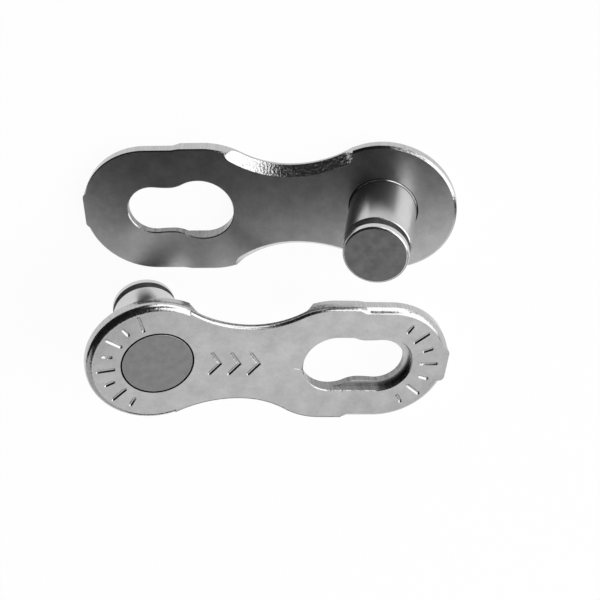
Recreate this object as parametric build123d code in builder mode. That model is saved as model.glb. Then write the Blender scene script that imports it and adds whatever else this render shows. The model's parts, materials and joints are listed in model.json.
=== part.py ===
from build123d import *

import os
from math import acos, asin, atan2, degrees, hypot, radians, sin, sqrt

# Chain connecting link: two equal half links, each a plate with a riveted pin and a keyhole slot.
# They lie apart on a flat surface, one with its pin up, the other turned over on to its pin.
# A half link is drawn with its pin on the Z axis, its slot towards +X and its inner face at Z = 0.
# All sizes are in millimetres.

# Closed link
pitch = 12.7  # pin axis to the axis of the locked seat
plate_gap = 3.85  # between the inner faces of the closed link
plate_thickness = 0.85

# Outline of the plate
pin_end_radius = 3.9
pin_end_offset = 0.08  # the pin end's arc stands this far out from the pin axis
pin_end_limit = 1.45  # the pin end stops here, past the pin axis, with a small step down to the neck
neck_half_width = 3.52  # at that step
waist_half_width = 2.5
waist_position = 4.95  # pin axis to the narrowest place
waist_radius = 5.2  # from the narrowest place towards the slot
shoulder_radius = 4.0
side_half_width = 3.84  # beside the slot
slot_end_limit = 1.75  # the slot end starts here, before the seat
coining_step = 0.07  # it stands this far inside the sides
coining_run = 0.4  # and takes this long to come in
slot_end_offset = 0.15  # the slot end's arc stands this far past the seat
tab_half_width = 1.1  # left standing at the tip of the slot end, where it was sheared from the strip
tab_setback = 0.1  # from the round end that the sides would have to the tab's flat
tab_corner = 0.3

# Edges of the plate
pin_end_round = 0.42  # outer face
pin_end_edge_break = 0.12  # inner face
side_round = 0.18  # outer face
slot_end_bevel = 0.28  # outer face
edge_break = 0.06  # inner face, beside and round the slot end

# Scoops that bevel the inner face at the waist
scoop_start = 1.45  # past the pin axis
scoop_end = 8.45
scoop_width = 0.4
scoop_depth = 0.62
scoop_corner = 0.2  # at the foot of its end walls

# Pin
shaft_radius = 1.825
shaft_chamfer = 0.05
shoulder_width = 0.175  # the shank in the plate is this much under the shaft, below a conical shoulder
head_radius = 1.95
head_flare = 0.08  # the riveted head is this much narrower at its seat
head_height = 0.36
head_play = 0.1  # ring left open round the head
groove_depth = 0.46
lip_undersize = 0.05  # lip under the shaft, so that a bushing passes over it
lip_round = 0.14
countersink_play = 0.08  # ring left open on the inner face, round the shaft

# Keyhole slot
entry_play = 0.045  # round the lip where it goes in
seat_play = 0.07  # round the groove where it locks
lock_travel = 2.62  # from the entry to the seat
ledge_thickness = 0.43  # what the lip locks behind
lip_play = 0.05  # between the ledge and the lip
throat_play = 0.02  # round the groove, at the narrowest place between the entry and the seat
throat_run = 0.95  # from there to the seat
slot_edge_break = 0.05

# Place on the surface
row_spacing = 8.14  # across, between the middles of the two half links
row_shift = 0.5  # along, between the same two middles
splay_angle = 13.2  # between their long axes

lip_radius = shaft_radius - lip_undersize
groove_radius = shaft_radius - groove_depth
shank_radius = shaft_radius - shoulder_width
countersink_radius = shaft_radius + countersink_play
countersink_depth = countersink_radius - shank_radius
groove_end = plate_gap + ledge_thickness + lip_play
pin_length = plate_gap + plate_thickness
entry_radius = lip_radius + entry_play
entry_position = pitch - lock_travel
seat_radius = groove_radius + seat_play
throat_half_width = groove_radius + throat_play
throat_position = pitch - throat_run
recess_depth = plate_thickness - ledge_thickness
slot_end_start = pitch - slot_end_limit
slot_end_position = pitch + slot_end_offset
slot_end_radius = side_half_width - coining_step
plate_end = slot_end_position + side_half_width - tab_setback


def blend(run, half_width, round_radius):
    """The arc that leaves half_width level and meets a round, centred run away on the axis, without a corner.

    Returns the arc's radius, the height of its centre, and the angle of the meeting place on the round.
    """
    radius = (run**2 + half_width**2 - round_radius**2) / (2 * (round_radius - half_width))
    height = half_width + radius
    return radius, height, degrees(atan2(height, run))


# The neck is an arc from the pin end's step to the narrowest place, level there
neck_run = waist_position - pin_end_limit
neck_rise = neck_half_width - waist_half_width
neck_radius = (neck_run**2 + neck_rise**2) / (2 * neck_rise)
neck_height = waist_half_width + neck_radius

# The shoulder is an arc that meets the waist and the straight side without a corner
waist_height = waist_half_width + waist_radius
shoulder_height = side_half_width - shoulder_radius
shoulder_rise = waist_height - shoulder_height
shoulder_run = sqrt((waist_radius + shoulder_radius) ** 2 - shoulder_rise**2)
shoulder_position = waist_position + shoulder_run
shoulder_angle = 90 - degrees(atan2(shoulder_rise, shoulder_run))

with BuildSketch(Plane.XY.offset(-plate_thickness)) as pin_end_outline:
    pin_end_angle = degrees(acos((pin_end_limit + pin_end_offset) / pin_end_radius))
    with BuildLine():
        pin_end_arc = CenterArc((-pin_end_offset, 0), pin_end_radius, pin_end_angle, 360 - 2 * pin_end_angle)
        Line(pin_end_arc @ 1, pin_end_arc @ 0)
    make_face()

with BuildSketch(Plane.XY.offset(-plate_thickness)) as side_outline:
    with BuildLine():
        neck_angle = degrees(asin(neck_run / neck_radius))
        Line((pin_end_limit, 0), (pin_end_limit, neck_half_width))
        CenterArc((waist_position, neck_height), neck_radius, 270 - neck_angle, neck_angle)
        CenterArc((waist_position, waist_height), waist_radius, 270, shoulder_angle)
        CenterArc((shoulder_position, shoulder_height), shoulder_radius, 90, shoulder_angle)
        Line((shoulder_position, side_half_width), (slot_end_start, side_half_width))
        Line((slot_end_start, side_half_width), (slot_end_start, 0))
        mirror(about=Plane.XZ)
    make_face()

with BuildSketch(Plane.XY.offset(-plate_thickness)) as slot_end_outline:
    with BuildLine():
        Polyline(
            (slot_end_start, 0),
            (slot_end_start, side_half_width),
            (slot_end_start + coining_run, slot_end_radius),
            (slot_end_position, slot_end_radius),
        )
        CenterArc((slot_end_position, 0), slot_end_radius, 0, 90)
        mirror(about=Plane.XZ)
    make_face()

with BuildSketch(Plane.XY.offset(-plate_thickness)) as tab_outline:
    with Locations((slot_end_position, 0)):
        Rectangle(plate_end - slot_end_position, 2 * tab_half_width, align=(Align.MIN, Align.CENTER))
    fillet(tab_outline.vertices().group_by(Axis.X)[-1], tab_corner)

with BuildSketch() as keyhole:
    entry_run = lock_travel - throat_run
    throat_radius, throat_height, entry_angle = blend(entry_run, throat_half_width, entry_radius)
    seat_blend_radius, seat_blend_height, seat_angle = blend(-throat_run, throat_half_width, seat_radius)
    with BuildLine():
        CenterArc((entry_position, 0), entry_radius, entry_angle, 180 - entry_angle)
        CenterArc((throat_position, throat_height), throat_radius, 180 + entry_angle, 90 - entry_angle)
        CenterArc((throat_position, seat_blend_height), seat_blend_radius, 270, seat_angle - 90)
        CenterArc((pitch, 0), seat_radius, 0, seat_angle)
        mirror(about=Plane.XZ)
    make_face()

with BuildSketch() as scoops:
    start_radius = neck_radius + scoop_width
    start_angle = degrees(asin((waist_position - scoop_start) / start_radius))
    end_radius = waist_radius + scoop_width
    end_angle = degrees(asin((scoop_end - waist_position) / end_radius))
    scoop_top = 2 * pin_end_radius
    with BuildLine():
        start = CenterArc((waist_position, neck_height), start_radius, 270 - start_angle, start_angle)
        end = CenterArc((waist_position, waist_height), end_radius, 270, end_angle)
        Polyline(start @ 0, (scoop_start, scoop_top), (scoop_end, scoop_top), end @ 1)
    make_face()
    ends = [scoops.vertices().group_by(Axis.X)[end].sort_by(Axis.Y)[0] for end in (0, -1)]
    fillet(ends, scoop_width + scoop_corner)
    mirror(about=Plane.XZ)


def outer_rim(part):
    """The edges of the outline on the outer face, without those where two stretches meet."""
    return part.edges().group_by(Axis.Z)[0].filter_by(Axis.Y, reverse=True)


def inner_rim(part):
    """The same on the inner face."""
    return part.edges().group_by(Axis.Z)[-1].filter_by(Axis.Y, reverse=True)


def slot_rim(part, face):
    """The edges of the slot on the outer face, 0, or on the inner face, -1."""
    rim = part.edges().group_by(Axis.Z)[face]
    inside = rim.filter_by_position(Axis.Y, -entry_radius, entry_radius)
    return inside.filter_by_position(Axis.X, entry_position - entry_radius, pitch + entry_radius)


# The plate's three stretches along its length, each with its own edges
with BuildPart() as pin_end:
    extrude(pin_end_outline.sketch, amount=plate_thickness)
    fillet(outer_rim(pin_end), pin_end_round)
    chamfer(inner_rim(pin_end), pin_end_edge_break)

with BuildPart() as sides:
    extrude(side_outline.sketch, amount=plate_thickness)
    fillet(outer_rim(sides), side_round)
    chamfer(inner_rim(sides), edge_break)

with BuildPart() as slot_end:
    extrude(slot_end_outline.sketch, amount=plate_thickness)
    chamfer(outer_rim(slot_end), slot_end_bevel)
    chamfer(inner_rim(slot_end), edge_break)
    extrude(tab_outline.sketch, amount=plate_thickness)
    with Locations((plate_end, 0, 0)):
        Box(
            slot_end_radius,
            2 * slot_end_radius,
            4 * plate_thickness,
            align=(Align.MIN, Align.CENTER, Align.CENTER),
            mode=Mode.SUBTRACT,
        )

with BuildPart() as half_plate:
    add(pin_end.part)
    add(sides.part)
    add(slot_end.part)
    # The scoops slope from their outline on the inner face down to the plate's edge
    scoop_slope = degrees(atan2(scoop_width, scoop_depth))
    extrude(scoops.sketch, amount=-scoop_depth - edge_break, taper=scoop_slope, mode=Mode.SUBTRACT)
    # The keyhole slot, and the recess in the outer face that takes the lip
    extrude(keyhole.sketch, amount=-plate_thickness, mode=Mode.SUBTRACT)
    chamfer(slot_rim(half_plate, -1), slot_edge_break)
    with BuildSketch(Plane.XY.offset(-plate_thickness)):
        with Locations((pitch - lock_travel / 2, 0)):
            SlotCenterToCenter(lock_travel, 2 * entry_radius)
    extrude(amount=recess_depth, mode=Mode.SUBTRACT)
    chamfer(slot_rim(half_plate, 0), slot_edge_break)
    # The bore for the pin, with a counterbore for its head and a countersink for its shoulder
    with Locations(Plane(origin=(0, 0, -plate_thickness), z_dir=(0, 0, -1))):
        CounterBoreHole(shank_radius, head_radius + head_play, head_height, plate_thickness)
    Cone(
        shank_radius,
        countersink_radius,
        countersink_depth,
        align=(Align.CENTER, Align.CENTER, Align.MAX),
        mode=Mode.SUBTRACT,
    )

with BuildPart() as half_pin:
    with BuildSketch(Plane.XZ):
        with BuildLine():
            Polyline(
                (0, pin_length),
                (0, -plate_thickness),
                (head_radius, -plate_thickness),
                (head_radius - head_flare, head_height - plate_thickness),
                (shank_radius, head_height - plate_thickness),
                (shank_radius, -countersink_depth),
                (shaft_radius, -countersink_play),
                (shaft_radius, plate_gap - shaft_chamfer),
                (shaft_radius - shaft_chamfer, plate_gap),
                (groove_radius, plate_gap),
                (groove_radius, groove_end),
                (lip_radius, groove_end),
                (lip_radius, pin_length - lip_round),
            )
            lip_arc = RadiusArc(
                (lip_radius, pin_length - lip_round),
                (lip_radius - lip_round, pin_length),
                -lip_round,
            )
            Line(lip_arc @ 1, (0, pin_length))
        make_face()
    revolve(axis=Axis.Z)

# The turned half link rests on its pin's lip and on the inner edge of its slot end
lip_run = plate_end - lip_radius + lip_round
lip_drop = pin_length - lip_round
lean = degrees(atan2(lip_drop, lip_run) + asin(lip_round / hypot(lip_run, lip_drop)))
slot_end_drop = sin(radians(lean)) * (plate_end - pitch / 2)

to_middle = Location((-pitch / 2, 0, 0))
upright_place = (
    Location((row_shift / 2, -row_spacing / 2, plate_thickness), (0, 0, splay_angle / 2))
    * to_middle
)
turned_place = (
    Location((-row_shift / 2, row_spacing / 2, slot_end_drop), (0, 0, -splay_angle / 2))
    * Location((0, 0, 0), (0, 180 - lean, 0))
    * to_middle
)
pair = Compound([half_plate.part.moved(upright_place), half_plate.part.moved(turned_place)])
pair_middle = pair.bounding_box().center()
centring = Location((-pair_middle.X, -pair_middle.Y, 0))

with BuildPart() as upright_half_plate:
    with Locations(centring * upright_place):
        add(half_plate.part)
upright_half_plate.part.label = "upright_half_plate"

with BuildPart() as upright_half_pin:
    with Locations(centring * upright_place):
        add(half_pin.part)
upright_half_pin.part.label = "upright_half_pin"

with BuildPart() as turned_half_plate:
    with Locations(centring * turned_place):
        add(half_plate.part)
turned_half_plate.part.label = "turned_half_plate"

with BuildPart() as turned_half_pin:
    with Locations(centring * turned_place):
        add(half_pin.part)
turned_half_pin.part.label = "turned_half_pin"

os.makedirs("parts", exist_ok=True)
export_step(upright_half_plate.part, "parts/upright_half_plate.step")
export_step(upright_half_pin.part, "parts/upright_half_pin.step")
export_step(turned_half_plate.part, "parts/turned_half_plate.step")
export_step(turned_half_pin.part, "parts/turned_half_pin.step")
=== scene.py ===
# Connecting link of a bicycle chain: two equal half links that lie apart on a pale table.
# A half link is drawn in millimetres, with its pin on the Z axis, its slot towards +X and
# its inner face at Z = 0, and is then placed in the frame.
import json
import math

import bmesh
import bpy
from mathutils import Matrix, Vector


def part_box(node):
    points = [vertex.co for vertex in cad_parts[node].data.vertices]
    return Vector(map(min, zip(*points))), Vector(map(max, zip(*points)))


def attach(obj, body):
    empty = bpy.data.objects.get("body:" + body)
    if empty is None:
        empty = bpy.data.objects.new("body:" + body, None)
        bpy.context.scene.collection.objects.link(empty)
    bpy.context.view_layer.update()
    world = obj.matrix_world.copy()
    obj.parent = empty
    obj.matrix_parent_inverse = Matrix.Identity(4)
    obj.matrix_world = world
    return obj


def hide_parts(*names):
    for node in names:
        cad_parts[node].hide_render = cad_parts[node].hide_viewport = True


mm = 0.001
tiny = 1e-5  # millimetres, for what counts as one point or one level

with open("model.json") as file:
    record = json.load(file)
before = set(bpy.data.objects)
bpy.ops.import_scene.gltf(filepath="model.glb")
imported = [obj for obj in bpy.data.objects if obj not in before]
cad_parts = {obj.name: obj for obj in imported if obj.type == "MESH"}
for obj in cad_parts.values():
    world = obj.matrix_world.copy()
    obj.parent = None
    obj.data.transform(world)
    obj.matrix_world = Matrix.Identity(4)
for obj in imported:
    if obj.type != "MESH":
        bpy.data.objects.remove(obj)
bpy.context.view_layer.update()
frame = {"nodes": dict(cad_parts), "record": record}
print("frame loaded:", ", ".join(sorted(frame["nodes"])))


# Helpers for meshes

def arc(centre, radius, start, end, count):
    # count points from start to end, in degrees, both ends included
    points = []
    for i in range(count):
        angle = math.radians(start + (end - start) * i / (count - 1))
        points.append((centre[0] + radius * math.cos(angle), centre[1] + radius * math.sin(angle)))
    return points


def mirrored(points):
    # a half outline from the tip to the far end, closed by its mirror image below the X axis
    return points + [(x, -y) for x, y in reversed(points[1:-1])]


def loft(bm, sections):
    # quads between neighbouring sections, and from the last section back to the first
    rows = [[bm.verts.new(point) for point in section] for section in sections]
    for row, following in zip(rows, rows[1:] + rows[:1]):
        for a, b, c, d in zip(row, following, following[1:], row[1:]):
            bm.faces.new((a, b, c, d))


def prism(bm, rings):
    # a closed solid through rings of as many points each
    rows = [[bm.verts.new(point) for point in ring] for ring in rings]
    for row, following in zip(rows, rows[1:]):
        for i in range(len(row)):
            j = (i + 1) % len(row)
            bm.faces.new((row[i], row[j], following[j], following[i]))
    bm.faces.new(list(reversed(rows[0])))
    bm.faces.new(rows[-1])


def closeFace(bm, level):
    # fills the flat face at that height between its outline and its holes
    rim = [e for e in bm.edges if e.is_boundary and all(abs(v.co.z - level) < tiny for v in e.verts)]
    bmesh.ops.triangle_fill(bm, use_beauty=True, use_dissolve=False, edges=rim)


def finishMesh(bm, name):
    # millimetres to metres, with the faces turned outwards
    bmesh.ops.recalc_face_normals(bm, faces=bm.faces)
    bmesh.ops.scale(bm, vec=(mm, mm, mm), verts=bm.verts)
    mesh = bpy.data.meshes.new(name)
    bm.to_mesh(mesh)
    bm.free()
    return mesh


def cutAway(mesh, cutter, name):
    # the first mesh without what the second one holds
    body = bpy.data.objects.new(name, mesh)
    tool = bpy.data.objects.new(name + "Cutter", cutter)
    for thing in (body, tool):
        bpy.context.scene.collection.objects.link(thing)
    boolean = body.modifiers.new("cut", "BOOLEAN")
    boolean.object = tool
    boolean.operation = "DIFFERENCE"
    boolean.solver = "EXACT"
    bpy.context.view_layer.update()
    result = bpy.data.meshes.new_from_object(body.evaluated_get(bpy.context.evaluated_depsgraph_get()))
    for thing in (body, tool):
        bpy.data.objects.remove(thing)
    return result


crispTurn = math.radians(28)  # edges that turn further than this stay crisp
levelNormal = 0.9999  # a face whose normal is this upright counts as level


def smooth(mesh):
    # smooth across gentle turns and crisp at the edges, with each level face flat up to its rounded edge
    mesh.shade_smooth()
    mesh.set_sharp_from_angle(angle=crispTurn)
    normals = [Vector(corner.vector) for corner in mesh.corner_normals]
    level = [face for face in mesh.polygons if abs(face.normal.z) > levelNormal]
    flats = {vertex: Vector(face.normal) for face in level for vertex in face.vertices}
    for i, loop in enumerate(mesh.loops):
        flat = flats.get(loop.vertex_index)
        if flat and flat.dot(normals[i]) > math.cos(crispTurn):
            normals[i] = flat
    for face in level:
        for i in face.loop_indices:
            normals[i] = Vector(face.normal)
    mesh.normals_split_custom_set(normals)


# The stamped plate

plate = {
    "pitch": 12.7,  # from the pin to the slot's seat
    "gap": 3.85,  # between the two plates of a closed link
    "thickness": 0.85,
    "pinEndRadius": 3.9,
    "pinEndOffset": 0.08,
    "pinEndLimit": 1.45,  # where the round end meets the neck
    "neckHalfWidth": 3.52,
    "waistHalfWidth": 2.5,
    "waistPosition": 4.95,
    "waistRadius": 5.2,
    "shoulderRadius": 4.0,
    "sideHalfWidth": 3.84,
    "slotEndLimit": 1.75,  # where the coined slot end begins, before its centre
    "coiningStep": 0.07,
    "coiningRun": 0.4,
    "slotEndOffset": 0.15,
    "tabHalfWidth": 1.1,
    "tabSetback": 0.1,
    "tabCorner": 0.3,
    "pinEndRound": 0.42,
    "pinEndEdgeBreak": 0.12,
    "sideRound": 0.18,
    "slotEndBevel": 0.28,
    "bevelBulge": 0.022,  # how far the coined bevel rises above a flat one
    "edgeBreak": 0.06,
    "roundSteps": 8,
}
scoop = {
    "start": 1.45,
    "end": 8.45,
    "width": 0.45,  # on the inner face
    "depth": 0.56,  # down the wall
    "corner": 0.18,
    "cornerSteps": 16,
    "wallSteps": 30,
}
pin = {
    "shaftRadius": 1.825,
    "shaftChamfer": 0.05,
    "shoulderWidth": 0.175,
    "headRadius": 1.95,
    "headFlare": 0.08,
    "headHeight": 0.36,
    "headPlay": 0.1,
    "headSteps": 4,
    "grooveDepth": 0.46,
    "grooveSteps": 5,
    "lipUndersize": 0.05,
    "lipRound": 0.14,
    "lipSteps": 9,
    "countersinkPlay": 0.08,
    "softening": 0.03,
    "headSoftening": 0.012,
    "footOut": 0.03,  # burr left round the shaft's foot by riveting
    "footHeight": 0.05,
    "sides": 128,  # of each round that is turned
}
slot = {
    "entryPlay": 0.045,  # round the other half link's lip
    "seatPlay": 0.07,  # round its groove
    "lockTravel": 2.62,
    "ledge": 0.43,  # how thick the plate is left under the lip
    "lipPlay": 0.05,
    "throatPlay": 0.02,
    "throatRun": 0.95,
    "edgeBreak": 0.05,
    "entrySteps": 72,
    "throatInSteps": 20,
    "throatOutSteps": 14,
    "seatSteps": 56,
}
plateEnd = plate["pitch"] + plate["slotEndOffset"] + plate["sideHalfWidth"] - plate["tabSetback"]
lipRadius = pin["shaftRadius"] - pin["lipUndersize"]
grooveRadius = pin["shaftRadius"] - pin["grooveDepth"]
shankRadius = pin["shaftRadius"] - pin["shoulderWidth"]
entryRadius = lipRadius + slot["entryPlay"]
pinLength = plate["gap"] + plate["thickness"]
neckRun = plate["waistPosition"] - plate["pinEndLimit"]
neckRise = plate["neckHalfWidth"] - plate["waistHalfWidth"]
neckRadius = (neckRun ** 2 + neckRise ** 2) / (2 * neckRise)
neckCentre = (plate["waistPosition"], plate["waistHalfWidth"] + neckRadius)
waistCentre = (plate["waistPosition"], plate["waistHalfWidth"] + plate["waistRadius"])


def outlineSections():
    # the plate's edge as sections, each a list of points from the inner face round to the outer face
    p = plate
    steps = p["roundSteps"]
    depth = p["thickness"]
    shoulderHeight = p["sideHalfWidth"] - p["shoulderRadius"]
    shoulderRise = waistCentre[1] - shoulderHeight
    shoulderRun = math.sqrt((p["waistRadius"] + p["shoulderRadius"]) ** 2 - shoulderRise ** 2)
    shoulderAt = p["waistPosition"] + shoulderRun
    shoulderAngle = math.atan2(shoulderRun, shoulderRise)
    endStart = p["pitch"] - p["slotEndLimit"]
    endAt = p["pitch"] + p["slotEndOffset"]
    endRadius = p["sideHalfWidth"] - p["coiningStep"]
    flat = plateEnd - endAt
    corner = p["tabCorner"]
    tabEdge = p["tabHalfWidth"]
    flatTurn = math.atan2(tabEdge - corner, flat)
    cornerTurn = math.atan2(tabEdge, flat - corner)
    footTurn = math.asin(tabEdge / (endRadius - p["slotEndBevel"]))

    def rounded(radius):
        # inset and depth of each point of an outer edge
        turns = [math.pi / 2 * i / steps for i in range(steps + 1)]
        return [(radius * (1 - math.cos(a)), depth - radius + radius * math.sin(a)) for a in turns]

    def bevelled(size):
        # the same for a bevel that bulges by a parabola across its slope
        edge = []
        for i in range(steps + 1):
            u = i / steps
            bulge = p["bevelBulge"] * 4 * u * (1 - u) / math.sqrt(2)
            edge.append((size * u - bulge, depth - size + size * u + bulge))
        return edge

    # each stretch gives the point at the share u of its length, moved in by an inset

    def pinEnd(u, inset):
        radius = p["pinEndRadius"] - inset
        last = math.acos((p["pinEndLimit"] + p["pinEndOffset"]) / radius)
        angle = math.pi + (last - math.pi) * u
        return -p["pinEndOffset"] + radius * math.cos(angle), radius * math.sin(angle)

    def neck(u, inset):
        radius = neckRadius + inset
        angle = math.asin(neckRun / radius) * (1 - u)
        return neckCentre[0] - radius * math.sin(angle), neckCentre[1] - radius * math.cos(angle)

    def waist(u, inset):
        radius = p["waistRadius"] + inset
        angle = shoulderAngle * u
        return waistCentre[0] + radius * math.sin(angle), waistCentre[1] - radius * math.cos(angle)

    def shoulder(u, inset):
        radius = p["shoulderRadius"] - inset
        angle = shoulderAngle * (1 - u)
        return shoulderAt - radius * math.sin(angle), shoulderHeight + radius * math.cos(angle)

    def side(u, inset):
        return shoulderAt + (endStart - shoulderAt) * u, p["sideHalfWidth"] - inset

    def coining(u, inset):
        return endStart + p["coiningRun"] * u, p["sideHalfWidth"] - p["coiningStep"] * u - inset

    def endSide(u, inset):
        start = endStart + p["coiningRun"]
        return start + (endAt - start) * u, endRadius - inset

    def tabReach(turn):
        # from the end's centre to the tab's flat, rounded corner or side
        if turn <= flatTurn:
            return flat / math.cos(turn)
        if turn >= cornerTurn:
            return tabEdge / math.sin(turn)
        along = (flat - corner) * math.cos(turn) + (tabEdge - corner) * math.sin(turn)
        return along + math.sqrt(corner ** 2 - (flat - corner) ** 2 - (tabEdge - corner) ** 2 + along ** 2)

    def tip(start, end):
        # the round end and its tab, between two directions from the end's centre
        def at(u, inset):
            turn = start + (end - start) * u
            reach = max(endRadius - inset, tabReach(turn))
            if reach * math.cos(turn) > flat:
                reach = flat / math.cos(turn)
            return endAt + reach * math.cos(turn), reach * math.sin(turn)
        return at

    sideEdge = [(p["edgeBreak"], 0), (0, p["edgeBreak"])] + rounded(p["sideRound"])
    endEdge = [(p["edgeBreak"], 0), (0, p["edgeBreak"])] + bevelled(p["slotEndBevel"])
    pinEndEdge = [(p["pinEndEdgeBreak"], 0), (0, p["pinEndEdgeBreak"])] + rounded(p["pinEndRound"])
    stretches = [  # a curve, the edge at its start and its end, and the steps along it
        (pinEnd, pinEndEdge, pinEndEdge, 64),
        (neck, sideEdge, sideEdge, 28),
        (waist, sideEdge, sideEdge, 24),
        (shoulder, sideEdge, sideEdge, 20),
        (side, sideEdge, sideEdge, 6),
        (coining, sideEdge, endEdge, 8),
        (endSide, endEdge, endEdge, 6),
        (tip(math.pi / 2, footTurn), endEdge, endEdge, 36),
        (tip(footTurn, cornerTurn), endEdge, endEdge, 3),
        (tip(cornerTurn, flatTurn), endEdge, endEdge, 8),
        (tip(flatTurn, 0), endEdge, endEdge, 3),
    ]
    half = []
    for place, edge, nextEdge, count in stretches:
        for i in range(count + 1):
            u = i / count
            profile = [(a + (c - a) * u, b + (d - b) * u) for (a, b), (c, d) in zip(edge, nextEdge)]
            half.append([(*place(u, inset), -down) for inset, down in profile])
    half = [section for section, before in zip(half, [None] + half) if section != before]
    lower = [[(x, -y, z) for x, y, z in section] for section in reversed(half[1:-1])]
    return half + lower


def slotSections():
    # the keyhole through the plate, its ledge and the recess round it, from the inner face outwards
    depth = plate["thickness"]
    entryAt = plate["pitch"] - slot["lockTravel"]
    seatAt = plate["pitch"]
    throatAt = seatAt - slot["throatRun"]
    seatRadius = grooveRadius + slot["seatPlay"]
    throat = grooveRadius + slot["throatPlay"]

    def blend(run, target):
        # an arc level at the throat that meets a round without a corner
        radius = (run ** 2 + throat ** 2 - target ** 2) / (2 * (target - throat))
        return radius, throat + radius, math.degrees(math.atan2(throat + radius, run))

    entryBlend, entryHeight, entryAngle = blend(throatAt - entryAt, entryRadius)
    seatBlend, seatHeight, seatAngle = blend(throatAt - seatAt, seatRadius)

    def ring(outset):
        # the keyhole's outline, moved out by an outset
        inCentre = (throatAt, entryHeight)
        outCentre = (throatAt, seatHeight)
        entry = arc((entryAt, 0), entryRadius + outset, 180, entryAngle, slot["entrySteps"])
        throatIn = arc(inCentre, entryBlend - outset, 180 + entryAngle, 270, slot["throatInSteps"])
        throatOut = arc(outCentre, seatBlend - outset, 270, 180 + seatAngle, slot["throatOutSteps"])
        seat = arc((seatAt, 0), seatRadius + outset, seatAngle, 0, slot["seatSteps"])
        return mirrored(entry + throatIn[1:] + throatOut[1:] + seat[1:])

    def recess(outset):
        # the point of the recess's edge that each point of the keyhole answers to
        radius = entryRadius + outset
        points = []
        for x, y in ring(0):
            if entryAt <= x <= seatAt:
                points.append((x, math.copysign(radius, y)))
                continue
            centre = entryAt if x < entryAt else seatAt
            reach = radius / math.hypot(x - centre, y)
            points.append((centre + (x - centre) * reach, y * reach))
        return points

    soft = slot["edgeBreak"]
    rings = [
        (ring(soft), 0),
        (ring(0), soft),
        (ring(0), slot["ledge"]),
        (recess(0), slot["ledge"]),
        (recess(0), depth - soft),
        (recess(soft), depth),
    ]
    return [[(*points[i], -down) for points, down in rings] for i in range(len(rings[0][0]))]


def lathe(profile, count):
    # sections of a body of revolution about Z, from a profile of radius and height
    sections = []
    for i in range(count):
        angle = 2 * math.pi * i / count
        sections.append([(r * math.cos(angle), r * math.sin(angle), z) for r, z in profile])
    return sections


def boreProfile():
    # the pin's bore: countersunk inside, with a counterbore for the head outside
    depth = plate["thickness"]
    seatAt = pin["headHeight"] - depth
    sink = pin["shaftRadius"] + pin["countersinkPlay"]
    counterbore = pin["headRadius"] + pin["headPlay"]
    return [(sink, 0), (shankRadius, shankRadius - sink), (shankRadius, seatAt), (counterbore, seatAt),
            (counterbore, -depth)]


def scoopCutter(bm, side):
    # the sloping scoop at one side of the waist, wide on the inner face and narrowing downwards
    corner = scoop["width"] + scoop["corner"]
    neckWall = neckRadius + scoop["width"]
    waistWall = plate["waistRadius"] + scoop["width"]
    far = 2 * plate["pinEndRadius"]
    past = plate["edgeBreak"]

    def cornerCentre(x, centre, radius):
        return x, centre[1] - math.sqrt((radius - corner) ** 2 - (x - centre[0]) ** 2)

    def heading(point, centre):
        return math.degrees(math.atan2(point[1] - centre[1], point[0] - centre[0])) % 360

    first = cornerCentre(scoop["start"] + corner, neckCentre, neckWall)
    last = cornerCentre(scoop["end"] - corner, waistCentre, waistWall)
    tangentIn = heading(first, neckCentre)
    tangentOut = heading(last, waistCentre)

    def ring(down):
        shrink = down * scoop["width"] / scoop["depth"]
        points = [(scoop["start"] + shrink, far)]
        points += arc(first, corner - shrink, 180, tangentIn, scoop["cornerSteps"])
        points += arc(neckCentre, neckWall - shrink, tangentIn, 270, scoop["wallSteps"])[1:]
        points += arc(waistCentre, waistWall - shrink, 270, tangentOut, scoop["wallSteps"])[1:]
        points += arc(last, corner - shrink, tangentOut, 360, scoop["cornerSteps"])[1:]
        points.append((scoop["end"] - shrink, far))
        return [(x, side * y, -down) for x, y in points]

    prism(bm, [ring(-past), ring(scoop["depth"] + past)])


# Stamped marks on the outer face: plain ticks round both ends and chevrons in the middle

marks = {
    "depth": 0.07,
    "stroke": 0.23,  # its width at the surface
    "footShare": 0.25,  # how much of that width is left at the bottom
    "roundSteps": 7,
    "tickLength": 0.9,  # every other one is half as long
    "pinEndRadius": 2.88,
    "pinEndAngles": (112, 131, 150, 169, 188, 207, 226, 245),
    "slotEndRadius": 2.8,
    "slotEndAngles": (58, 38, 18, -2, -22, -42, -62),
    "chevronAt": (3.0, 4.1, 5.2),
    "chevronHalfHeight": 0.68,
    "chevronReach": 0.5,
    "scratch": ((8.2, 0.34), (7.78, 0.3)),  # a short one beside the slot
    "scratchWidth": 0.07,
    "scratchDepth": 0.02,
}


def grooveCutter(bm, path, stroke, depth):
    # a sunk stroke with sloping walls and round ends along a short path of points
    points = [Vector(point) for point in path]
    heading = [math.atan2((b - a).y, (b - a).x) for a, b in zip(points, points[1:])]

    def outline(halfWidth):
        first = math.degrees(heading[0])
        last = math.degrees(heading[-1])
        ring = arc(points[-1], halfWidth, last - 90, last + 90, marks["roundSteps"])
        for sign, inner in ((1, range(len(points) - 2, 0, -1)), (-1, range(1, len(points) - 1))):
            for i in inner:
                turn = (heading[i] - heading[i - 1]) / 2
                across = heading[i - 1] + turn + math.pi / 2
                reach = sign * halfWidth / math.cos(turn)
                ring.append((points[i].x + reach * math.cos(across), points[i].y + reach * math.sin(across)))
            if sign == 1:
                ring += arc(points[0], halfWidth, first + 90, first + 270, marks["roundSteps"])
        return ring

    foot = stroke / 2 * marks["footShare"]
    face = -plate["thickness"]
    prism(bm, [[(x, y, face - depth) for x, y in outline(stroke - foot)],
               [(x, y, face + depth) for x, y in outline(foot)]])


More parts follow.
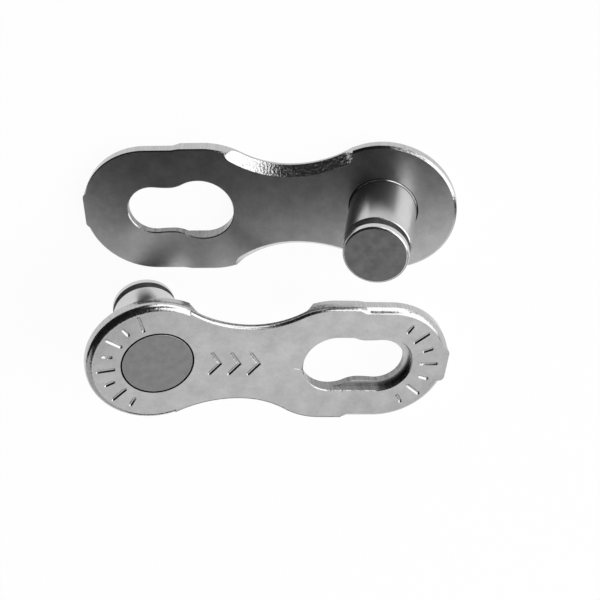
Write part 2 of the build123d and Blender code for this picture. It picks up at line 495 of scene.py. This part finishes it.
def stampedMarks(bm):
    # short and long ticks by turns round both ends, the chevrons and the scratch
    ends = [(0, marks["pinEndRadius"], marks["pinEndAngles"]),
            (plate["pitch"], marks["slotEndRadius"], marks["slotEndAngles"])]
    for centre, radius, angles in ends:
        for number, degrees in enumerate(angles):
            angle = math.radians(degrees)
            out = Vector((math.cos(angle), math.sin(angle)))
            half = marks["tickLength"] / (2 if number % 2 else 4)
            tick = [(centre + out.x * r, out.y * r) for r in (radius - half, radius + half)]
            grooveCutter(bm, tick, marks["stroke"], marks["depth"])
    for x in marks["chevronAt"]:
        half = marks["chevronHalfHeight"]
        chevron = [(x, -half), (x + marks["chevronReach"], 0), (x, half)]
        grooveCutter(bm, chevron, marks["stroke"], marks["depth"])
    grooveCutter(bm, marks["scratch"], marks["scratchWidth"], marks["scratchDepth"])


def plateMesh():
    # the closed plate, less the scoops and the marks
    body = bmesh.new()
    loft(body, outlineSections())
    loft(body, slotSections())
    loft(body, lathe(boreProfile(), pin["sides"]))
    bmesh.ops.remove_doubles(body, verts=body.verts, dist=tiny)
    closeFace(body, 0)
    closeFace(body, -plate["thickness"])
    solid = finishMesh(body, "halfPlate")
    cutters = bmesh.new()
    for side in (1, -1):
        scoopCutter(cutters, side)
    stampedMarks(cutters)
    mesh = cutAway(solid, finishMesh(cutters, "plateCuts"), "halfPlate")
    smooth(mesh)
    return mesh


# The turned pin

def pinMesh():
    # one turned profile from the riveted head's face up the shaft to the lip's end
    p = pin
    depth = plate["thickness"]
    gap = plate["gap"]
    shaft = p["shaftRadius"]
    head = p["headRadius"]
    seatAt = p["headHeight"] - depth
    grooveEnd = gap + slot["ledge"] + slot["lipPlay"]
    sink = shaft + p["countersinkPlay"] - shankRadius
    soft = p["softening"]
    headSoft = p["headSoftening"]
    lipRound = p["lipRound"]
    profile = [(0, -depth), (head - headSoft, -depth)]
    profile += arc((head - headSoft, headSoft - depth), headSoft, -90, 0, p["headSteps"])[1:]
    profile += [(head - p["headFlare"], seatAt), (shankRadius, seatAt), (shankRadius, -sink)]
    profile += [(shaft, -p["countersinkPlay"]), (shaft + p["footOut"], 0), (shaft, p["footHeight"])]
    profile += [(shaft, gap - p["shaftChamfer"]), (shaft - p["shaftChamfer"], gap)]
    profile += arc((grooveRadius + soft, gap + soft), soft, 270, 180, p["grooveSteps"])
    profile += arc((grooveRadius + soft, grooveEnd - soft), soft, 180, 90, p["grooveSteps"])
    profile += [(lipRadius, grooveEnd), (lipRadius, pinLength - lipRound)]
    profile += arc((lipRadius - lipRound, pinLength - lipRound), lipRound, 0, 90, p["lipSteps"])[1:]
    profile.append((0, pinLength))
    body = bmesh.new()
    loft(body, lathe(profile, p["sides"]))
    bmesh.ops.remove_doubles(body, verts=body.verts, dist=tiny)
    mesh = finishMesh(body, "halfPin")
    smooth(mesh)
    return mesh


# Places of the two half links

layout = {
    "rowSpacing": 8.14,  # between the middles of the two half links, across and along them
    "rowShift": 0.5,
    "splay": 13.2,  # degrees between them
}


def places():
    # the upright half link lies on its outer face, the turned one on its pin's lip and its slot end
    turn = math.radians(layout["splay"] / 2)
    run = plateEnd - lipRadius + pin["lipRound"]
    drop = pinLength - pin["lipRound"]
    lean = math.atan2(drop, run) + math.asin(pin["lipRound"] / math.hypot(run, drop))
    height = math.sin(lean) * (plateEnd - plate["pitch"] / 2)
    toMiddle = Matrix.Translation((-plate["pitch"] / 2 * mm, 0, 0))
    uprightAt = Vector((layout["rowShift"] / 2, -layout["rowSpacing"] / 2, plate["thickness"])) * mm
    turnedAt = Vector((-layout["rowShift"] / 2, layout["rowSpacing"] / 2, height)) * mm
    upright = Matrix.Translation(uprightAt) @ Matrix.Rotation(turn, 4, "Z") @ toMiddle
    turned = Matrix.Translation(turnedAt) @ Matrix.Rotation(-turn, 4, "Z")
    turned = turned @ Matrix.Rotation(math.pi - lean, 4, "Y") @ toMiddle
    mount = [m for m in frame["record"]["mounts"] if m["name"] == "upright_pin"][0]
    shift = Vector(mount["pos_m"]) - upright.translation  # the frame's origin is the pair's middle
    shift.z = 0
    return Matrix.Translation(shift) @ upright, Matrix.Translation(shift) @ turned


# Materials

def linearColour(text):
    # an sRGB hex value as the linear colour that the nodes work with
    channels = [int(text[i:i + 2], 16) / 255 for i in (1, 3, 5)]
    return [c / 12.92 if c <= 0.04045 else ((c + 0.055) / 1.055) ** 2.4 for c in channels] + [1]


def addNode(tree, kind, settings, links=None):
    # one node: settings are its properties or its sockets, links go from another node's socket to its own
    node = tree.nodes.new("ShaderNode" + kind)
    for name, value in settings.items():
        if isinstance(name, str) and hasattr(node, name):
            setattr(node, name, value)
        else:
            node.inputs[name].default_value = value
    for name, socket in (links or {}).items():
        tree.links.new(socket, node.inputs[name])
    return node


def newMaterial(name):
    material = bpy.data.materials.new(name)
    material.use_nodes = True
    material.node_tree.nodes.clear()
    return material, material.node_tree


def perSize(size):
    # how often a pattern of that size in millimetres repeats in a metre
    return 1 / (size * mm)


# Sizes and heights are in millimetres, and roughness and shade go from one value to the other with a
# pattern. Real grit and shear lines are 0.03 to 0.05 mm across: all are drawn coarser, so that they show.
plateFinish = {
    "colour": "#c4c4c4",
    "roughness": (0.28, 0.31),
    "shade": (0.86, 1.14),
    "grainSize": 0.15,  # tumbling grit
    "grainHeight": 0.0022,
    "mottleSize": 1.1,  # the sheet's own unevenness, at its real size
    "mottleHeight": 0.005,
    "mottleBite": 0.8,  # how strong its finer clouds are beside the coarse ones
    "crown": 0.17,  # how far the face falls away towards its rim, from the press
}
shearedFinish = {
    "colour": "#c0c0c0",
    "roughness": (0.14, 0.24),
    "shade": (0.84, 1.06),
    "streakSize": 0.11,
    "streakLength": 14,  # times its width, down the wall
    "streakHeight": 0.003,
    "gritSize": 0.14,
    "gritHeight": 0.006,
}
coinedFinish = {
    "colour": "#c8c8c8",
    "roughness": (0.2, 0.265),
    "shade": (0.8, 1.1),
    "streakSize": 0.13,
    "streakLength": 3,
    "streakHeight": 0.009,
    "gritSize": 0.11,
    "gritHeight": 0.016,
}
# the pierced walls' darker colour is painted shade in the keyhole and its recess; their streaks and grit are
# their own
piercedWithPaintedShadeFinish = {
    "colour": "#8e8e8e",
    "roughness": (0.17, 0.265),
    "shade": (0.6, 1.2),
    "streakSize": 0.13,
    "streakLength": 9,
    "streakHeight": 0.005,
    "gritSize": 0.16,
    "gritHeight": 0.003,
}
mostOfPattern = (0.3, 0.7)  # what the middle of a noise pattern spans
allOfPattern = (0.2, 0.8)  # and what all but its rarest spots span


def fromTo(pattern, values):
    # settings of a node that turns a pattern's span into a range of values
    return {"From Min": pattern[0], "From Max": pattern[1], "To Min": values[0], "To Max": values[1]}


def shaded(tree, f, pattern):
    # the finish's colour, a little lighter and darker with a pattern
    share = addNode(tree, "MapRange", fromTo(mostOfPattern, f["shade"]), {"Value": pattern.outputs[0]})
    return addNode(tree, "HueSaturation", {"Color": linearColour(f["colour"])}, {"Value": share.outputs[0]})


def steelShader(tree, colour, rough, bump):
    # bare metal with the default index of refraction
    shader = addNode(tree, "BsdfPrincipled", {"Metallic": 1},
                     {"Base Color": colour.outputs[0], "Roughness": rough.outputs[0],
                      "Normal": bump.outputs[0]})
    addNode(tree, "OutputMaterial", {}, {"Surface": shader.outputs[0]})


def nickelPlatedFace():
    # rolled steel sheet, tumbled and nickel plated: a satin grey with faint clouds, and crowned by the press
    # so that its tone shifts from rim to rim
    f = plateFinish
    material, tree = newMaterial("nickelPlatedSteelTumbled")
    place = addNode(tree, "TexCoord", {})
    # the crown falls away from the line between the two holes
    behind = addNode(tree, "VectorMath", {"operation": "MAXIMUM", 1: (0, 0, -1)},
                     {0: place.outputs["Object"]})
    axis = addNode(tree, "VectorMath", {"operation": "MINIMUM", 1: (plate["pitch"] * mm, 0, 1)},
                   {0: behind.outputs[0]})
    away = addNode(tree, "VectorMath", {"operation": "DISTANCE"},
                   {0: place.outputs["Object"], 1: axis.outputs[0]})
    share = addNode(tree, "Math", {"operation": "DIVIDE", 1: plate["sideHalfWidth"] * mm},
                    {0: away.outputs["Value"]})
    fall = addNode(tree, "Math", {"operation": "POWER", 1: 2}, {0: share.outputs[0]})
    grain = addNode(tree, "TexNoise", {"Scale": perSize(f["grainSize"]), "Detail": 1},
                    {"Vector": place.outputs["Object"]})
    mottle = addNode(tree, "TexNoise",
                     {"Scale": perSize(f["mottleSize"]), "Detail": 4, "Roughness": f["mottleBite"]},
                     {"Vector": place.outputs["Object"]})
    rough = addNode(tree, "MapRange", fromTo(allOfPattern, f["roughness"]), {"Value": mottle.outputs[0]})
    crowned = addNode(tree, "Bump", {"Distance": f["crown"] * mm, "invert": True},
                      {"Height": fall.outputs[0]})
    sheet = addNode(tree, "Bump", {"Distance": f["mottleHeight"] * mm},
                    {"Height": mottle.outputs[0], "Normal": crowned.outputs[0]})
    satin = addNode(tree, "Bump", {"Distance": f["grainHeight"] * mm},
                    {"Height": grain.outputs[0], "Normal": sheet.outputs[0]})
    steelShader(tree, shaded(tree, f, mottle), rough, satin)
    return material


def nickelPlatedEdge(name, f):
    # cut steel under the same plating, with streaks down it: bright where the blank was sheared, glittering
    # and gritty where the scoops were coined, and torn where the holes were pierced, with a darker colour
    # there as painted shade
    material, tree = newMaterial(name)
    place = addNode(tree, "TexCoord", {})
    down = addNode(tree, "Mapping", {"Scale": (1, 1, 1 / f["streakLength"])},
                   {"Vector": place.outputs["Object"]})
    streak = addNode(tree, "TexNoise", {"Scale": perSize(f["streakSize"]), "Detail": 3},
                     {"Vector": down.outputs[0]})
    rough = addNode(tree, "MapRange", fromTo(mostOfPattern, f["roughness"]), {"Value": streak.outputs[0]})
    grit = addNode(tree, "TexNoise", {"Scale": perSize(f["gritSize"]), "Detail": 1},
                   {"Vector": place.outputs["Object"]})
    streaked = addNode(tree, "Bump", {"Distance": f["streakHeight"] * mm}, {"Height": streak.outputs[0]})
    bump = addNode(tree, "Bump", {"Distance": f["gritHeight"] * mm},
                   {"Height": grit.outputs[0], "Normal": streaked.outputs[0]})
    steelShader(tree, shaded(tree, f, streak), rough, bump)
    return material


burnishedFinish = {
    "colour": "#cfcfcf",
    "roughness": (0.22, 0.265),
    "shade": (0.97, 1.03),
    "grainSize": 0.06,
    "grainHeight": 0.0006,
    "mottleSize": 0.8,
}
pressedFinish = {
    "colour": "#9a9a9a",
    "roughness": (0.38, 0.58),
    "shade": (0.84, 1.16),
    "grainSize": 0.15,
    "grainHeight": 0.003,
    "mottleSize": 0.45,
}
# the narrow gap between the pin's head and the plate is painted near black: painted shade between the parts
gapPaintedShadeFinish = {
    "colour": "#2c2c2c",
    "roughness": (0.4, 0.5),
    "shade": (0.9, 1.1),
    "grainSize": 0.1,
    "grainHeight": 0.002,
    "mottleSize": 0.7,
}


def hardenedSteel(name, f):
    # hardened steel: its burnished shaft mirrors what is near it, and its pressed ends are dull and cloudy;
    # the narrow gap round the head is painted near black, as painted shade
    material, tree = newMaterial(name)
    place = addNode(tree, "TexCoord", {})
    grain = addNode(tree, "TexNoise", {"Scale": perSize(f["grainSize"]), "Detail": 3},
                    {"Vector": place.outputs["Object"]})
    mottle = addNode(tree, "TexNoise", {"Scale": perSize(f["mottleSize"]), "Detail": 3},
                     {"Vector": place.outputs["Object"]})
    rough = addNode(tree, "MapRange", fromTo(allOfPattern, f["roughness"]), {"Value": mottle.outputs[0]})
    bump = addNode(tree, "Bump", {"Distance": f["grainHeight"] * mm}, {"Height": grain.outputs[0]})
    steelShader(tree, shaded(tree, f, mottle), rough, bump)
    return material


# Floor, camera and light

studio = {
    "floorSize": 3.0,  # metres
    "floorDrop": 0.00002,  # just under the object, so that the two faces don't flicker
    "floorColour": "#e6e6e6",
    "shadowColour": "#505050",  # what the lamps add to the floor's own white, and the object's shadow takes
    "floorGlow": 0.95,
    "worldColour": "#ffffff",
    "worldStrength": 0.015,
}


def paintFloor():
    # pale card that the camera and the metal see as almost white, with the object's shadow kept
    material, tree = newMaterial("paleCard")
    path = addNode(tree, "LightPath", {})
    straight = addNode(tree, "Math", {"operation": "MAXIMUM"},
                       {0: path.outputs["Is Camera Ray"], 1: path.outputs["Is Glossy Ray"]})
    seen = addNode(tree, "Math", {"operation": "MAXIMUM"},
                   {0: straight.outputs[0], 1: path.outputs["Is Transmission Ray"]})
    card = addNode(tree, "BsdfDiffuse", {"Color": linearColour(studio["floorColour"])})
    shadow = addNode(tree, "BsdfDiffuse", {"Color": linearColour(studio["shadowColour"])})
    glow = addNode(tree, "Emission", {"Color": linearColour("#ffffff"), "Strength": studio["floorGlow"]})
    white = addNode(tree, "AddShader", {}, {0: shadow.outputs[0], 1: glow.outputs[0]})
    mix = addNode(tree, "MixShader", {}, {0: seen.outputs[0], 1: card.outputs[0], 2: white.outputs[0]})
    addNode(tree, "OutputMaterial", {}, {"Surface": mix.outputs[0]})
    return material


def addFloor():
    bm = bmesh.new()
    bmesh.ops.create_circle(bm, cap_ends=True, segments=64, radius=studio["floorSize"] / 2)
    mesh = bpy.data.meshes.new("floor")
    bm.to_mesh(mesh)
    bm.free()
    mesh.materials.append(paintFloor())
    floor = bpy.data.objects.new("floor", mesh)
    floor.location.z = -studio["floorDrop"]
    bpy.context.scene.collection.objects.link(floor)


# direction from the object, then distance, width and height in metres, and the brightness of its face
lamps = {
    "side": ((-0.835, -0.147, 0.53), 0.5, 0.46, 0.58, 2.2),
    "low": ((-0.483, -0.837, 0.259), 0.5, 0.42, 0.25, 2.3),
    "back": ((-0.394, 0.643, 0.656), 0.15, 0.125, 0.1, 0.88),
    "far": ((0.446, 0.772, 0.454), 0.3, 0.34, 0.26, 0.6),
}


def addLamps():
    # soft boxes round the object, and a faint world between them
    for name, (direction, distance, width, height, brightness) in lamps.items():
        light = bpy.data.lights.new(name, "AREA")
        light.shape = "RECTANGLE"
        light.size, light.size_y = width, height
        light.energy = brightness * math.pi * width * height  # a lambertian face of that radiance
        lamp = bpy.data.objects.new(name, light)
        lamp.location = Vector(direction).normalized() * distance
        lamp.rotation_euler = Vector(direction).to_track_quat("Z", "Y").to_euler()
        bpy.context.scene.collection.objects.link(lamp)
    world = bpy.data.worlds.new("studio")
    world.use_nodes = True
    background = world.node_tree.nodes["Background"]
    background.inputs["Color"].default_value = linearColour(studio["worldColour"])
    background.inputs["Strength"].default_value = studio["worldStrength"]
    bpy.context.scene.world = world


view = {  # degrees, and millimetres where nothing else is said
    "azimuth": -7.45,
    "elevation": 55.48,
    "roll": 191.53,
    "distance": 140,
    "target": (-1.947, 0.975, 2.0),
    "lens": 151.75,
    "sensor": 36,
    "nearest": 0.005,  # metres
    "farthest": 20,
}


def addCamera():
    # looks at the target from its azimuth and elevation, rolled about its own axis
    turn, lift, roll = (math.radians(view[name]) for name in ("azimuth", "elevation", "roll"))
    back = Vector((math.sin(turn) * math.cos(lift), -math.cos(turn) * math.cos(lift), math.sin(lift)))
    right = Vector((math.cos(turn), math.sin(turn), 0))
    up = back.cross(right)
    across = right * math.cos(roll) + up * math.sin(roll)
    upwards = up * math.cos(roll) - right * math.sin(roll)
    data = bpy.data.cameras.new("camera")
    data.lens, data.sensor_width = view["lens"], view["sensor"]
    data.clip_start, data.clip_end = view["nearest"], view["farthest"]
    stand = (Vector(view["target"]) + back * view["distance"]) * mm
    camera = bpy.data.objects.new("camera", data)
    camera.matrix_world = Matrix.Translation(stand) @ Matrix((across, upwards, back)).transposed().to_4x4()
    bpy.context.scene.collection.objects.link(camera)
    bpy.context.scene.camera = camera


addCamera()
addFloor()
addLamps()
print("camera, floor and lamps placed")

plateSurfaces = {
    "sheared": nickelPlatedEdge("nickelPlatedSteelSheared", shearedFinish),
    "face": nickelPlatedFace(),
    # the pierced walls take a darker colour as painted shade
    "pierced": nickelPlatedEdge("nickelPlatedSteelPiercedPaintedShade", piercedWithPaintedShadeFinish),
    # the walls of the gap round the head are painted dark as painted shade
    "gap": hardenedSteel("steelGapPaintedShade", gapPaintedShadeFinish),
    "coined": nickelPlatedEdge("nickelPlatedSteelCoined", coinedFinish),
}
pinSurfaces = {
    "shaft": hardenedSteel("hardenedSteelBurnished", burnishedFinish),
    "end": hardenedSteel("hardenedSteelPressed", pressedFinish),
}
print("materials made:", len(plateSurfaces) + len(pinSurfaces))

limits = {
    "level": 0.999,  # a face whose normal is more upright than this lies level
    "slope": 0.5,  # and one whose normal is less upright than this is a wall
    "gapWidth": 0.15,  # beyond the head, with its rim
    "margin": 0.01,  # what the gap's wall keeps from the plate's two faces
}


def plateSurface(x, y, down, upright):
    # the surface of a face of the plate, from its middle, its depth and how upright its normal is
    entryAt = plate["pitch"] - slot["lockTravel"]
    fromSlot = math.hypot(x - min(max(x, entryAt), plate["pitch"]), y)
    if math.hypot(x, y) < pin["headRadius"] + limits["gapWidth"]:
        if limits["margin"] < down < plate["thickness"] - limits["margin"]:
            return "gap"
    elif fromSlot < entryRadius + slot["edgeBreak"] and abs(upright) < limits["slope"]:
        return "pierced"
    elif scoop["start"] < x < scoop["end"] and down > plate["edgeBreak"]:
        if limits["slope"] < upright < limits["level"]:
            return "coined"
    return "face" if abs(upright) > limits["level"] else "sheared"


def pinSurface(x, y, down, upright):
    return "end" if abs(upright) > limits["level"] else "shaft"


def dress(mesh, surfaces, choose):
    # gives every face of the mesh its surface
    mesh.materials.clear()
    for surface in surfaces.values():
        mesh.materials.append(surface)
    order = list(surfaces)
    for face in mesh.polygons:
        x, y, z = face.center / mm
        face.material_index = order.index(choose(x, y, -z, face.normal.z))


plateData = plateMesh()
pinData = pinMesh()
dress(plateData, plateSurfaces, plateSurface)
dress(pinData, pinSurfaces, pinSurface)
print("plate mesh:", len(plateData.polygons), "faces, pin mesh:", len(pinData.polygons), "faces")


def strayFrom(node, corners):
    # how far the corners' box is from the box of the solid, in millimetres
    low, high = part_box(node)
    gaps = []
    for i in range(3):
        along = [corner[i] for corner in corners]
        gaps += [abs(min(along) - low[i]), abs(max(along) - high[i])]
    return max(gaps) / mm


for side, place in zip(("upright", "turned"), places()):
    for part, mesh, slotName in (("plate", plateData, "plate_steel"), ("pin", pinData, "pin_steel")):
        piece = bpy.data.objects.new(side + "_" + part + "_finished", mesh)
        piece.matrix_world = place
        bpy.context.scene.collection.objects.link(piece)
        node = side + "_half_" + part
        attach(piece, "root")
        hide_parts(node)
        stray = strayFrom(node, [place @ vertex.co for vertex in mesh.vertices])
        print(node, "differs from its solid by", round(stray, 4), "mm")

scene = bpy.context.scene
scene.view_settings.view_transform = "Standard"
